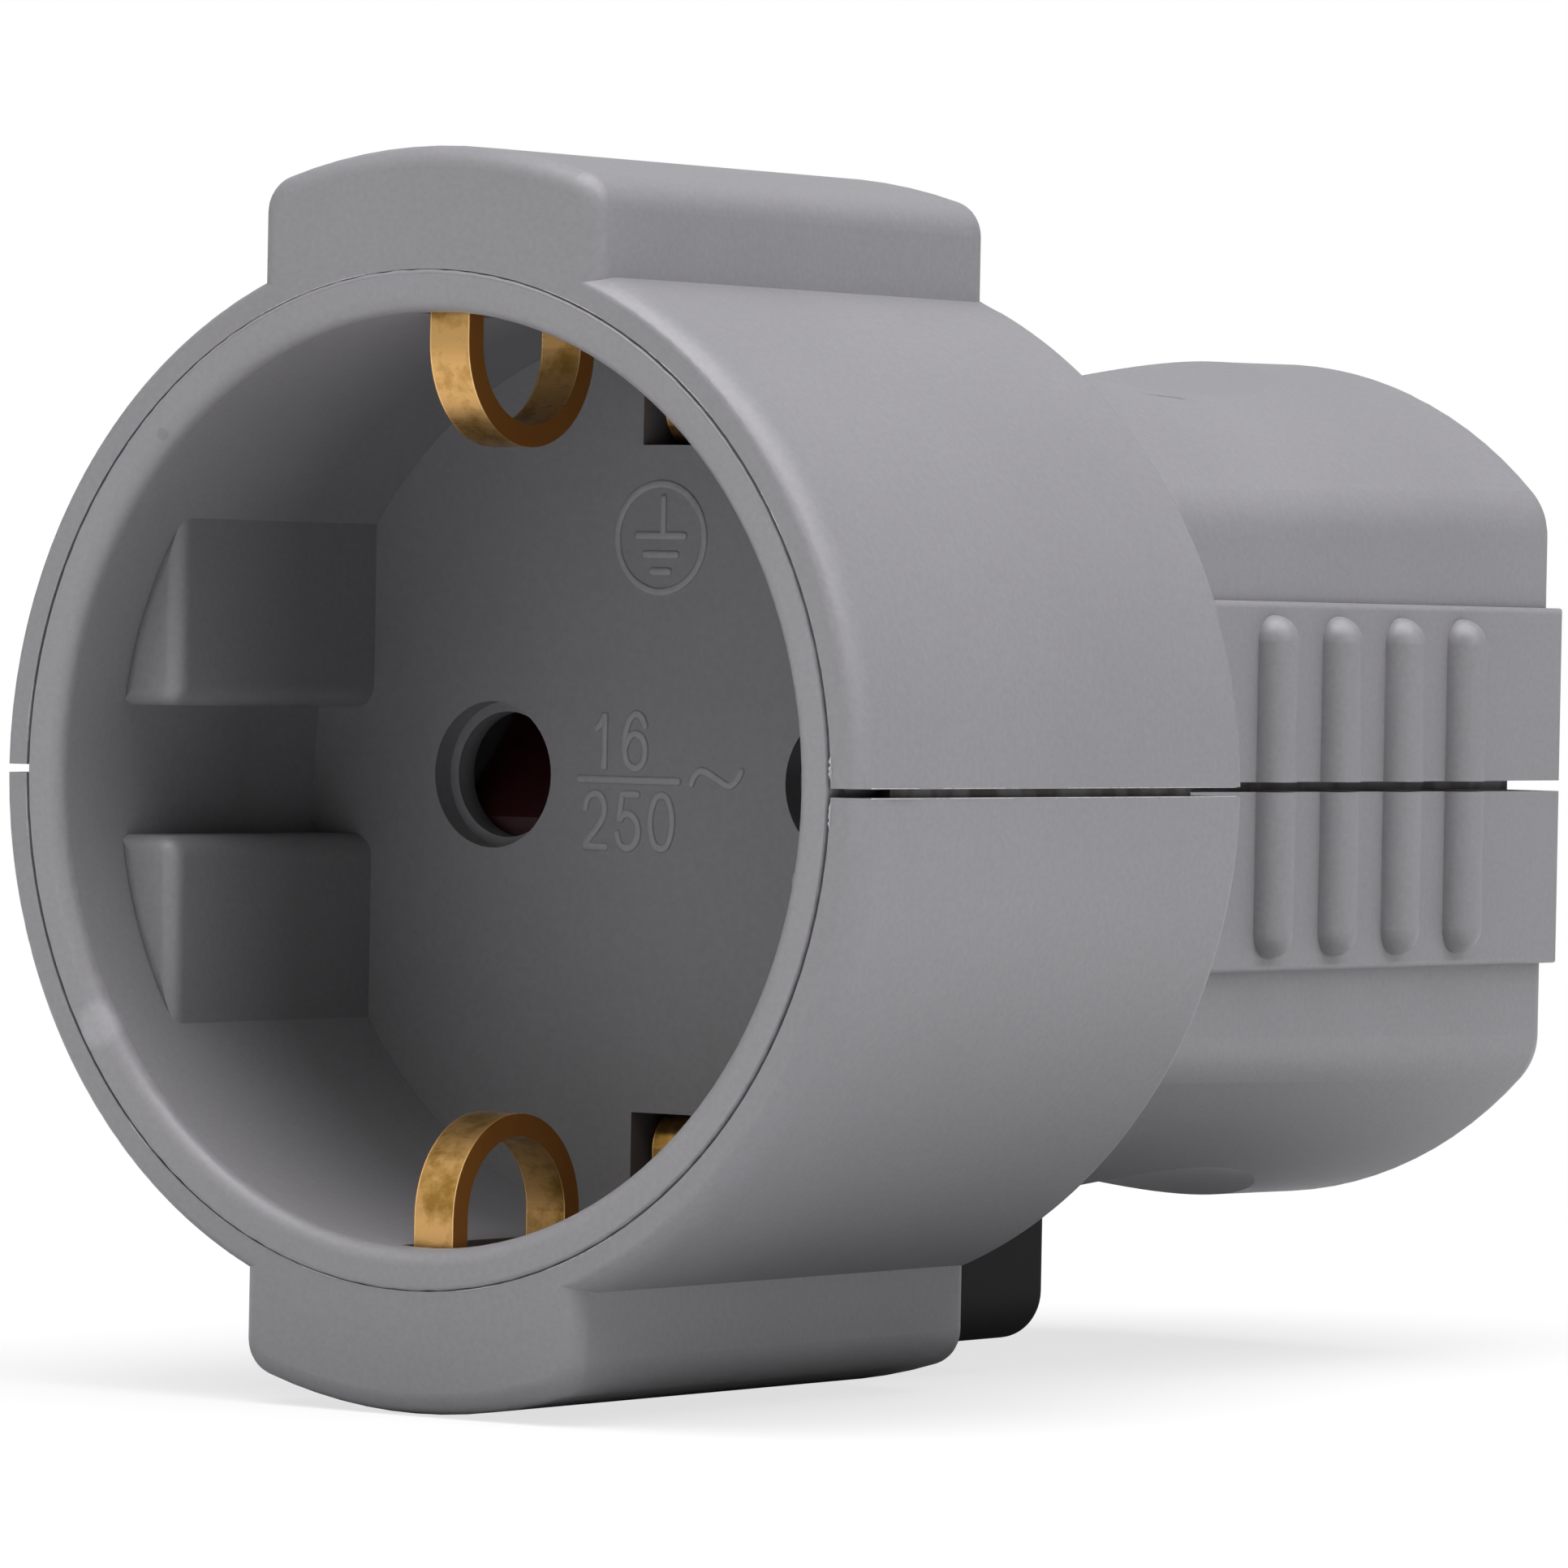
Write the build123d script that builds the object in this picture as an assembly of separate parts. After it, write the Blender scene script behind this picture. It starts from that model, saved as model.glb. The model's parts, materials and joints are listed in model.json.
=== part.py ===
"""Earthed 16 A cable coupler for plugs with two round pins and side earth contacts, in millimetres."""
import os

from build123d import *

# The model is drawn about the socket axis: X to the side, Y from the socket face to the cord end, Z up.
# The finished pieces are then moved so that the lower lug stands on Z = 0, with the length centred on Y = 0.

# Socket sizes that the plug sets
recess_radius = 19.5
recess_depth = 17.5
pin_pitch = 19.0
pin_length = 19.0
pin_hole_radius = 2.75
guide_depth = 3.3
guide_front = 4.0
guide_gap = 5.6
guide_rounding = 1.0
guide_front_rounding = 0.7

# Clearances shared by the fits
slip = 0.1
tongue_slip = 0.05
easy = 0.25
past = 1.0

# Socket insert
rim_wall = 1.55
rim_rounding = 0.7
base_thickness = 2.2
collar_step = 1.85
collar_behind_base = 2.0
pin_funnel_radius = 3.2
pin_funnel_depth = 1.1
earth_window_width = 3.2
earth_window_reach = 5.1
earth_slot_width = 2.7
earth_slot_front = 1.3

# Shutter: a slide with a slope for each pin, pushed down as the plug goes in
shutter_behind_base = 0.3
shutter_depth = 5.4
shutter_overlap = 0.95
shutter_half_height = 3.4
shutter_travel = 5.9
shutter_lip = 0.8
shutter_slope_rise = 1.4
shutter_rib_half_width = 2.2
spring_radius = 1.9
spring_wire = 0.35
spring_turns = 5
spring_seat_wall = 5.8
spring_pocket = 1.2

# Round head of the housing
head_wall = 1.65
head_front = 0.05
head_rear_wall = 2.2
head_edge_rise = 0.6
head_edge_length = 1.6
head_rear_rounding = 0.5
insert_gap = 0.2
drum_clearance = 0.6

# Lugs above and below the head
lug_half_width = 8.9
lug_height = 3.7
lug_corner = 1.6
lug_edge = 0.9
lug_wall = 1.8
lug_front_wall = 2.95
lug_room_half_width = 4.0
clip_relief_height = 1.65

# Grip behind the head
grip_step = 3.7
grip_flare = 0.5
grip_length = 38.0
grip_edge = 1.2
grip_side_edge = 3.0
grip_wall = 1.7
grip_rear_wall = 2.6
dish_from_head = 6.8
dish_from_end = 8.2
dish_depth = 1.9

# Side pads and their ribs
pad_rise = 0.6
pad_half_height = 8.2
pad_inset = 0.2
pad_edge = 0.3
rib_radius = 1.16
rib_half_height = 7.6
rib_from_head = 13.2
rib_pitch = 5.22
rib_count = 4

# Split between the halves
split_gap_front = 0.36
split_gap_rear = 0.5
tongue_height = 1.2
tongue_root = 0.6
tongue_thickness = 0.5
tongue_cover = 0.3
tongue_inset = 3.0

# Live contacts
sleeve_wall = 0.5
sleeve_bore = 2.45
sleeve_slit = 0.8
sleeve_ring = 1.5
terminal_width = 6.4
terminal_height = 7.0
terminal_length = 8.4
terminal_edge = 0.5
terminal_floor = 1.5
wire_hole_radius = 1.6
tapped_radius = 1.75

# Contact carrier behind the shutter
carrier_side = 0.3
carrier_half_height = 6.2
carrier_flange = 3.0
carrier_floor = 2.4
carrier_plate = 1.4
carrier_rail = 1.0
carrier_rail_height = 2.0
carrier_tail = 1.6
cradle_height = 1.0

# Earth path
strip_width = 2.1
strip_thickness = 0.95
clip_front = 1.8
clip_span = 8.6
clip_reach = 5.5
clip_bend = 3.8
strip_bend = 1.0
strip_behind_wall = 1.1
strip_free_end = 1.6
strip_tail_inset = 4.2
strip_tail_behind_base = 1.4
earth_bar_thickness = 1.2
earth_bar_half_width = 2.6
earth_bar_edge = 1.0
earth_bar_overrun = 1.3
earth_terminal_length = 8.0
earth_terminal_size = 6.0

# Screws
terminal_screw_radius = 1.7
terminal_screw_head = 2.5
terminal_screw_rise = 0.1
clamp_screw_radius = 1.45
clamp_screw_head = 2.6
clamp_screw_low = -5.0
screw_head_height = 2.0
screw_slot = 0.7
screw_edge = 0.3
screw_tip = 1.7

# Cord clamp and cord inlet
cord_radius = 4.0
cord_bite = 1.2
clamp_from_end = 7.7
clamp_length = 6.0
clamp_half_width = 11.6
clamp_thickness = 2.6
clamp_corner = 1.5
clamp_screw_offset = 8.4
clamp_post_radius = 3.0
clamp_post_sink = 0.8
clamp_gap = 0.6
saddle_half_width = 6.0
saddle_thickness = 2.0
inlet_radius = 5.2
inlet_flange_radius = 6.6
inlet_flange = 1.4
inlet_collar = 3.8
inlet_edge = 1.0

# Screw and nut that hold the halves together
housing_screw_radius = 1.75
housing_screw_clearance = 0.15
housing_screw_head = 3.1
housing_screw_sink = 2.6
housing_screw_tip = 6.2
housing_boss_radius = 4.0
housing_boss_inset = 0.5
housing_bore_top = 14.0
nut_across_flats = 6.0
nut_low = 3.2
nut_height = 2.6
nut_clearance = 0.05

# Black block behind the lower lug
block_length = 11.1
block_half_width = 5.5
block_drop = 1.5
block_corner = 2.2
block_edge = 0.9
block_gap = 0.05
block_tongue_half_width = 3.9
block_tongue_length = 5.6
block_tongue_inset = 0.9

# Sizes that follow from the ones above
base_end = recess_depth + base_thickness
collar_end = base_end + collar_behind_base
insert_radius = recess_radius + rim_wall
drum_radius = insert_radius - collar_step
shutter_front = base_end + shutter_behind_base
shutter_end = shutter_front + shutter_depth
shutter_middle = (shutter_front + shutter_end) / 2
drum_end = shutter_end + drum_clearance
head_radius = insert_radius + head_wall
head_end = drum_end + head_rear_wall
lug_radius = head_radius + lug_height
grip_radius_front = head_radius - grip_step
grip_radius_rear = grip_radius_front + grip_flare
carrier_half_width = (pin_pitch + terminal_width) / 2 + carrier_side
grip_inner_flat = carrier_half_width + slip
grip_flat = grip_inner_flat + grip_wall
grip_end = head_end + grip_length
dish_length = grip_length - dish_from_head - dish_from_end
dish_floor = grip_radius_front + grip_flare / 2 - dish_depth
dish_radius = (dish_length / 2) ** 2 / (2 * dish_depth) + dish_depth / 2
guide_flat = recess_radius - guide_depth
earth_window_low = recess_radius - earth_window_reach
clip_low = recess_radius - clip_reach
strip_level = recess_radius + strip_behind_wall
strip_tail_level = drum_radius - strip_tail_inset
spring_seat = drum_radius - spring_seat_wall
shutter_half_width = pin_pitch / 2 + pin_hole_radius + shutter_overlap
grip_inner_radius = grip_radius_front - grip_wall - 4 * slip
pad_plane = grip_flat + pad_rise
pad_front = head_end + 4 * pad_inset
pad_end = grip_end - pad_inset
dish_middle = head_end + dish_from_head + dish_length / 2
rib_first = head_end + rib_from_head
carrier_front = drum_end + slip
sleeve_outer = sleeve_bore + sleeve_wall
sleeve_front = carrier_front + carrier_plate + slip
sleeve_end = recess_depth + pin_length + sleeve_ring
carrier_end = sleeve_end + carrier_tail
left_pin = -pin_pitch / 2
right_pin = pin_pitch / 2
terminal_middle = sleeve_end + terminal_length / 2
earth_bar_front = carrier_front + 0.05
earth_bar_end = earth_bar_front + earth_bar_thickness
earth_middle = earth_bar_end + earth_terminal_length / 2
clamp_middle = grip_end - clamp_from_end
clamp_seat = cord_radius - cord_bite
clamp_top = clamp_seat + clamp_thickness
overall_length = grip_end + inlet_collar
block_end = head_end + block_length
block_reach = lug_radius - block_drop
far = 2 * lug_radius
up_to_high = (Align.CENTER, Align.CENTER, Align.MIN)


def rod(radius, start, end, x=0.0, z=0.0):
    """A cylinder along Y."""
    return Pos(x, start, z) * Rot(-90, 0, 0) * Cylinder(radius, end - start, align=up_to_high)


def post(radius, low, high, x=0.0, y=0.0):
    """A cylinder along Z."""
    return Pos(x, y, low) * Cylinder(radius, high - low, align=up_to_high)


def block(x0, x1, y0, y1, z0, z1):
    """A box between two corners."""
    return Pos((x0 + x1) / 2, (y0 + y1) / 2, (z0 + z1) / 2) * Box(x1 - x0, y1 - y0, z1 - z0)


def bar(half_width, y0, y1, z0, z1):
    """A box centred on X = 0."""
    return block(-half_width, half_width, y0, y1, z0, z1)


def across(face, start, end):
    """A sketch of the XZ plane pushed along Y."""
    return Pos(0, start, 0) * extrude(face, -(end - start))


def below(shape):
    """The same shape on the other side of the split plane."""
    return mirror(shape, Plane.XY)


def both_sides(shape):
    """A shape and its mirror image in X."""
    return shape + mirror(shape, Plane.YZ)


def lug():
    """Upper lug, crowned about the socket axis, with its front, rear and crown edges rounded."""
    outline = Circle(lug_radius) & Rectangle(2 * lug_half_width, far)
    outline &= Pos(0, lug_radius) * Rectangle(far, 2 * lug_radius - head_radius)
    outline = fillet(outline.vertices().sort_by(Axis.Y)[-2:], lug_corner)
    solid = across(Plane.XZ * outline, head_front, head_end)
    rims = [e for f in solid.faces().filter_by(Axis.Y) for e in f.edges()]
    return fillet([e for e in rims if e.center().Z > 0.8 * head_radius], lug_edge)


def head():
    """Round head whose front edge falls away in a long soft curve."""
    middle = (head_radius - head_edge_rise, head_front + head_edge_length)
    edge = EllipticalCenterArc(middle, head_edge_rise, head_edge_length, -90, arc_size=90)
    rest = Polyline(edge @ 1, (head_radius, head_end), (0, head_end), (0, head_front), edge @ 0)
    solid = revolve(make_face(edge + rest), Axis.Y)
    rear = solid.edges().filter_by(GeomType.CIRCLE).sort_by(Axis.Y)[-1]
    return fillet(rear, head_rear_rounding)


def side_pad():
    """Raised pad of the right side with its row of upright ribs."""
    solid = block(grip_inner_flat, pad_plane, pad_front, pad_end, -pad_half_height, pad_half_height)
    solid = fillet(solid.faces().sort_by(Axis.X)[-1].edges(), pad_edge)
    tip = rib_half_height - rib_radius
    for index in range(rib_count):
        y = rib_first + index * rib_pitch
        solid += post(rib_radius, -tip, tip, pad_plane, y)
        for z in (-tip, tip):
            solid += Pos(pad_plane, y, z) * Sphere(rib_radius)
    return solid


def dish(extra):
    """A round bar across the grip whose underside is the upper dish."""
    return Pos(0, dish_middle, dish_floor + dish_radius) * Rot(0, 90, 0) * Cylinder(dish_radius + extra, far)


def grip():
    """Slightly flared grip with flat sides, ribbed pads and a shallow dish above and below."""
    front = (grip_radius_front, drum_end)
    outline = Polyline((0, drum_end), front, (grip_radius_rear, grip_end), (0, grip_end), (0, drum_end))
    solid = revolve(make_face(outline), Axis.Y)
    solid &= bar(grip_flat, 0, grip_end + past, -far, far)
    sides = solid.faces().filter_by(Axis.X)
    solid = fillet([e for f in sides for e in f.edges() if abs(e.center().Z) > past], grip_side_edge)
    solid = fillet(solid.faces().sort_by(Axis.Y)[-1].edges(), grip_edge)
    solid += both_sides(side_pad())
    return solid - dish(0) - below(dish(0))


def housing():
    """Both halves in one piece, before the split."""
    solid = head() + lug() + below(lug()) + grip()
    room = rod(insert_radius + insert_gap, 0, collar_end + slip)
    room += rod(drum_radius + slip, 0, drum_end)
    lug_room_front = head_front + lug_front_wall
    lug_ceiling = lug_radius - lug_wall
    inside_lug = bar(lug_room_half_width, lug_room_front, collar_end, drum_radius - past, lug_ceiling)
    relief_top = insert_radius + clip_relief_height
    inside_lug += bar(earth_slot_width / 2, earth_slot_front, lug_room_front + past, drum_radius, relief_top)
    room += inside_lug + below(inside_lug)
    inside = rod(grip_inner_radius, collar_end, grip_end - grip_rear_wall)
    inside &= bar(grip_inner_flat, 0, grip_end, -far, far)
    inside -= dish(grip_wall) + below(dish(grip_wall))
    solid -= room + inside
    boss_top = dish_floor - housing_boss_inset
    solid += post(housing_boss_radius, -boss_top, boss_top, 0, dish_middle)
    return solid - rod(inlet_radius, clamp_middle, overall_length)


def tongue(slack, extra):
    """Ring and side strips along the split: the tongue itself, or its groove when given some slack."""
    inner = insert_radius + insert_gap + tongue_cover
    start = head_front + tongue_inset - extra
    end = drum_end - past + extra
    ring = rod(inner + tongue_thickness + slack, start, end)
    ring -= rod(inner - slack, start - past, end + past)
    low = -tongue_root
    high = tongue_height + extra
    solid = ring & block(-far, far, start, end, low, high)
    side = grip_inner_flat + 2 * tongue_cover
    front = head_end + past - extra
    rear = grip_end - tongue_inset + extra
    return solid + both_sides(block(side - slack, side + tongue_thickness + slack, front, rear, low, high))


def above_split():
    """All the room above the split, which opens a little towards the cord end."""
    front = (-past, split_gap_front / 2)
    rear = (overall_length, split_gap_rear / 2)
    outline = Polyline(front, rear, (overall_length, far), (-past, far), front)
    return extrude(Plane.YZ * make_face(outline), far, both=True)


def upper_housing(whole):
    """Half above the split, with the groove and the nut's pocket."""
    solid = whole & above_split()
    solid -= tongue(tongue_slip, easy)
    shank = housing_screw_radius + housing_screw_clearance
    solid -= post(shank, -past, housing_bore_top, 0, dish_middle)
    pocket = Pos(0, dish_middle, 0) * RegularPolygon(nut_across_flats / 2, 6, major_radius=False)
    return solid - extrude(pocket, nut_low + nut_height + slip)


def lower_housing(whole):
    """Half below the split, with the tongue, the screw's hole and the posts of the cord clamp."""
    solid = whole & below(above_split())
    solid += tongue(0, 0)
    shank = housing_screw_radius + housing_screw_clearance
    solid -= post(shank, -far, past, 0, dish_middle)
    solid -= post(housing_screw_head + 0.2, -far, housing_screw_sink - dish_floor, 0, dish_middle)
    tongue_front = head_end - block_tongue_length - easy
    pocket_low = block_tongue_inset - block_reach - block_gap
    solid -= bar(lug_room_half_width, tongue_front, head_end + past, pocket_low, -drum_radius)
    half = saddle_thickness / 2
    top = cord_bite - cord_radius
    inner = bar(saddle_half_width, clamp_middle - half, clamp_middle + half, -far, top)
    for x in (-clamp_screw_offset, clamp_screw_offset):
        inner += post(clamp_post_radius, -far, clamp_seat - clamp_gap, x, clamp_middle)
        inner -= post(clamp_screw_radius + tongue_slip, clamp_screw_low - past, far, x, clamp_middle)
    solid += inner & rod(grip_inner_radius + clamp_post_sink, 0, grip_end)
    return solid - rod(cord_radius, clamp_middle - clamp_length, overall_length)


def guide():
    """Upper guide block of the left wall."""
    section = Circle(recess_radius + easy) & Pos(-guide_flat, guide_gap / 2) * Rectangle(
        recess_radius, recess_radius, align=(Align.MAX, Align.MIN)
    )
    corner = section.vertices().sort_by(Axis.Y)[:2].sort_by(Axis.X)[-1]
    section = fillet(corner, guide_rounding)
    solid = across(Plane.XZ * section, guide_front, recess_depth + easy)
    front = solid.faces().sort_by(Axis.Y)[0]
    rims = [e for e in front.edges() if e.center().X > -recess_radius + past]
    return fillet(rims, guide_front_rounding)


def socket_insert():
    """Cup for the plug with its base, guides, pin holes and the shutter room behind the base."""
    solid = rod(insert_radius, 0, collar_end) + rod(drum_radius, past, drum_end)
    solid -= rod(recess_radius, -past, recess_depth)
    rims = solid.edges().filter_by(GeomType.CIRCLE).group_by(Axis.Y)[0]
    solid = fillet(rims.sort_by(SortBy.RADIUS)[0], rim_rounding)
    guides = guide() + below(guide())
    solid += both_sides(guides)
    top = shutter_half_height + drum_clearance
    open_end = drum_end + past
    room = bar(shutter_half_width + easy, base_end, open_end, -top - shutter_travel, top)
    solid -= room + bar(spring_radius + easy, base_end, open_end, -spring_seat, 0)
    for x in (left_pin, right_pin):
        solid -= rod(pin_funnel_radius, guide_front, recess_depth + pin_funnel_depth, x)
        solid -= rod(pin_hole_radius, recess_depth, base_end + easy, x)
    window = bar(earth_window_width / 2, recess_depth - easy, open_end, earth_window_low, far)
    window += bar(earth_slot_width / 2, earth_slot_front, recess_depth, recess_radius - past, far)
    return solid - window - below(window)


def shutter():
    """Slide over both pin holes, with a sloping face for each pin."""
    half = shutter_half_height
    solid = bar(shutter_half_width, shutter_front, shutter_end, -half, half)
    foot = (shutter_front - slip, shutter_slope_rise - half)
    crest = shutter_end - shutter_lip
    slope = Polyline(foot, (shutter_front - slip, half + past), (crest, half + past), (crest, half), foot)
    solid -= extrude(Plane.YZ * make_face(slope), shutter_half_width + past, both=True)
    solid += bar(shutter_rib_half_width, shutter_front, shutter_end, -half, half)
    return solid - post(spring_radius + slip, -half - past, spring_pocket - half, 0, shutter_middle)


def shutter_spring():
    """Coil spring under the middle of the shutter."""
    low = spring_wire - spring_seat + slip
    high = spring_pocket - shutter_half_height - spring_wire - slip
    path = Helix((high - low) / spring_turns, high - low, spring_radius - spring_wire)
    section = Plane(origin=path @ 0, z_dir=path % 0) * Circle(spring_wire)
    return Pos(0, shutter_middle, low) * sweep(section, path=path, is_frenet=True)


def terminal(x, start, width, height, length):
    """Brass block with a wire hole from the rear and a tapped hole from above."""
    solid = block(x - width / 2, x + width / 2, start, start + length, -height / 2, height / 2)
    solid = fillet(solid.edges().filter_by(Axis.Z), terminal_edge)
    solid -= rod(wire_hole_radius, start + terminal_floor, start + length + past, x)
    return solid - post(tapped_radius, 0, height, x, start + length / 2)


def contact(x):
    """Slit sleeve for one pin with its wire terminal behind."""
    solid = rod(sleeve_outer, sleeve_front, sleeve_end, x)
    solid -= rod(sleeve_bore, sleeve_front - past, sleeve_end + past, x)
    half = sleeve_slit / 2
    solid -= block(x - half, x + half, sleeve_front - past, sleeve_end - sleeve_ring, 0, 2 * sleeve_outer)
    return solid + terminal(x, sleeve_end, terminal_width, terminal_height, terminal_length)


def slotted_screw(radius, head_radius_, x, y, low, high):
    """Cheese-head screw pointing down, its head above the high level."""
    top = high + screw_head_height
    cap = post(head_radius_, high, top, x, y)
    cap = fillet(cap.faces().sort_by(Axis.Z)[-1].edges(), screw_edge)
    half = screw_slot / 2
    slot = block(x - half, x + half, y - far, y + far, top - screw_head_height / 2, top + past)
    return post(radius, low, high, x, y) + cap - slot


def contact_carrier():
    """Tray that holds both sleeves and leaves a middle channel for the earth terminal."""
    tall = carrier_half_height
    plate_end = carrier_front + carrier_plate
    flange = tall + carrier_flange
    plate = bar(carrier_half_width, carrier_front, plate_end, -flange, flange)
    solid = plate & rod(grip_inner_radius - easy, carrier_front, plate_end)
    solid += bar(carrier_half_width, carrier_front, carrier_end, -tall, carrier_floor - tall)
    seat = terminal_width / 2 + slip
    solid += bar(right_pin - seat - 2 * slip, carrier_front, carrier_end, -tall, carrier_rail_height)
    solid -= bar(right_pin - seat - carrier_rail, plate_end, carrier_end + past, carrier_floor - tall, far)
    for x in (left_pin, right_pin):
        cradle = block(x - seat, x + seat, plate_end, sleeve_end - sleeve_ring, -tall, -cradle_height)
        solid += cradle - rod(sleeve_outer + tongue_slip, carrier_front, carrier_end, x)
        solid -= rod(pin_hole_radius + easy, carrier_front - past, plate_end + easy, x)
        low = -terminal_height / 2
        solid -= block(x - seat, x + seat, sleeve_end - tongue_slip, carrier_end + past, low, far)
    solid -= bar(earth_bar_half_width + slip, carrier_front - past, earth_bar_end + slip, -far, far)
    half = earth_terminal_size / 2 + slip
    return solid - bar(half, carrier_front - past, plate_end + easy, -half, half)


def earth_clip():
    """Upper earth clip: a bent brass strip that springs into the recess and ends at the earth bar."""
    half = strip_thickness / 2
    front = clip_front + half
    rear = clip_front + clip_span - half
    tail = base_end - strip_tail_behind_base + half
    low = clip_low + half
    points = [
        (front, strip_level + strip_free_end),
        (front, low),
        (rear, low),
        (rear, strip_level),
        (tail, strip_level),
        (tail, strip_tail_level),
        (earth_bar_front, strip_tail_level),
    ]
    radii = [clip_bend, clip_bend, strip_bend, strip_bend, strip_bend]
    path = Plane.YZ * FilletPolyline(*points, radius=radii)
    start = Plane(origin=path @ 0, x_dir=(1, 0, 0), z_dir=path % 0)
    return sweep(start * Rectangle(strip_width, strip_thickness), path=path)


def earth_bar():
    """Flat bar that joins both earth clips behind the shutter."""
    tall = strip_tail_level + earth_bar_overrun
    solid = bar(earth_bar_half_width, earth_bar_front, earth_bar_end, -tall, tall)
    return fillet(solid.edges().filter_by(Axis.Y), earth_bar_edge)


def cord_clamp():
    """Bridge that presses the cord against the lower half, with a grooved underside."""
    start = clamp_middle - clamp_length / 2
    solid = bar(clamp_half_width, start, start + clamp_length, clamp_seat, clamp_top)
    solid = fillet(solid.edges().filter_by(Axis.Z), clamp_corner)
    solid -= rod(cord_radius, start - past, start + clamp_length + past)
    for x in (-clamp_screw_offset, clamp_screw_offset):
        solid -= post(clamp_screw_radius + slip, 0, far, x, clamp_middle)
    return solid


def cord_grommet():
    """Soft black inlet bushing in the rear wall."""
    wall_start = grip_end - grip_rear_wall - slip
    solid = rod(inlet_radius - tongue_slip, wall_start - inlet_flange, grip_end + inlet_collar / 2)
    solid += rod(inlet_flange_radius, wall_start - inlet_flange, wall_start)
    outer = rod(inlet_flange_radius, grip_end + tongue_slip, overall_length)
    solid += fillet(outer.faces().sort_by(Axis.Y)[-1].edges(), inlet_edge)
    return solid - rod(cord_radius, clamp_middle, overall_length + past)


def housing_screw():
    """Long screw from the lower dish up into the nut, its slotted head at the bottom."""
    seat = dish_floor - housing_screw_sink
    middle = -dish_middle
    screw = slotted_screw(housing_screw_radius, housing_screw_head, 0, middle, -housing_screw_tip, seat)
    return Rot(180, 0, 0) * screw


def housing_nut():
    """Hexagon nut held in the boss of the upper half."""
    size = nut_across_flats / 2 - nut_clearance
    outline = Pos(0, dish_middle, nut_low) * RegularPolygon(size, 6, major_radius=False)
    return extrude(outline, nut_height) - post(housing_screw_radius, 0, far, 0, dish_middle)


def rear_block():
    """Flat-bottomed black block behind the lower lug, with a tongue that sits in the lug."""
    outline = Pos(0, block_reach / 2) * Rectangle(2 * block_half_width, block_reach)
    outline = fillet(outline.vertices().sort_by(Axis.Y)[-2:], block_corner)
    solid = across(Plane.XZ * outline, head_end + block_gap, block_end)
    rear = solid.faces().sort_by(Axis.Y)[-1]
    solid = fillet([e for e in rear.edges() if e.center().Z > 0.8 * grip_radius_front], block_edge)
    start = head_end - block_tongue_length
    top = block_reach - block_tongue_inset
    solid += bar(block_tongue_half_width, start, head_end + past, drum_radius + drum_clearance, top)
    return below(solid - rod(grip_radius_rear + easy, 0, overall_length))


whole_housing = housing()
clamp_screws = [
    slotted_screw(clamp_screw_radius, clamp_screw_head, x, clamp_middle, clamp_screw_low, clamp_top)
    for x in (-clamp_screw_offset, clamp_screw_offset)
]
terminal_top = terminal_height / 2 + terminal_screw_rise
terminal_screws = [
    slotted_screw(terminal_screw_radius, terminal_screw_head, x, terminal_middle, screw_tip, terminal_top)
    for x in (left_pin, right_pin)
]
earth_top = earth_terminal_size / 2 + terminal_screw_rise
earth_screw = slotted_screw(terminal_screw_radius, terminal_screw_head, 0, earth_middle, screw_tip, earth_top)
earth_size = earth_terminal_size

pieces = {
    "upper_housing": upper_housing(whole_housing),
    "lower_housing": lower_housing(whole_housing),
    "socket_insert": socket_insert(),
    "shutter": shutter(),
    "shutter_spring": shutter_spring(),
    "contact_carrier": contact_carrier(),
    "contact_left": contact(left_pin),
    "contact_right": contact(right_pin),
    "terminal_screw_left": terminal_screws[0],
    "terminal_screw_right": terminal_screws[1],
    "earth_clip_top": earth_clip(),
    "earth_clip_bottom": below(earth_clip()),
    "earth_bar": earth_bar(),
    "earth_terminal": terminal(0, earth_bar_end, earth_size, earth_size, earth_terminal_length),
    "earth_screw": earth_screw,
    "cord_clamp": cord_clamp(),
    "clamp_screw_left": clamp_screws[0],
    "clamp_screw_right": clamp_screws[1],
    "cord_grommet": cord_grommet(),
    "housing_screw": housing_screw(),
    "housing_nut": housing_nut(),
    "rear_block": rear_block(),
}

place = Pos(0, -overall_length / 2, lug_radius)
os.makedirs("parts", exist_ok=True)
for name, shape in pieces.items():
    export_step(place * shape, f"parts/{name}.step")
    print(name, round(shape.volume, 1))
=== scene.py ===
import json
import math
import random

import bmesh
import bpy
from mathutils import Matrix, Vector


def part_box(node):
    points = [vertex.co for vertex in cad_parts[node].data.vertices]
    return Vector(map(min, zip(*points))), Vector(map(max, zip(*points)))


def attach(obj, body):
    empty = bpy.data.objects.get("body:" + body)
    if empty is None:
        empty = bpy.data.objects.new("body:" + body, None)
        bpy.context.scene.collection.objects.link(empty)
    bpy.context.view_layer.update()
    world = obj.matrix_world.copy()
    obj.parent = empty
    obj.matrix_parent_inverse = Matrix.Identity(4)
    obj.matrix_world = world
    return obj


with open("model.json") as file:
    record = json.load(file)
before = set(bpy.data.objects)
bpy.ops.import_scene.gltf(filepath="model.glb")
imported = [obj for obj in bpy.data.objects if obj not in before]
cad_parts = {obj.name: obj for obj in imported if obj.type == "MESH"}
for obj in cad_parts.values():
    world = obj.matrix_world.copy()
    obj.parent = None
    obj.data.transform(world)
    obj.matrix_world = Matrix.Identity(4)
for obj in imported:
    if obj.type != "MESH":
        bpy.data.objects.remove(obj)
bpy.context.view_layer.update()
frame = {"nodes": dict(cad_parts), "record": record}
nodes = frame["nodes"]
mm = 0.001
recessDepth = 17.5 * mm
photoSize = 1932    # pixels

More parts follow.
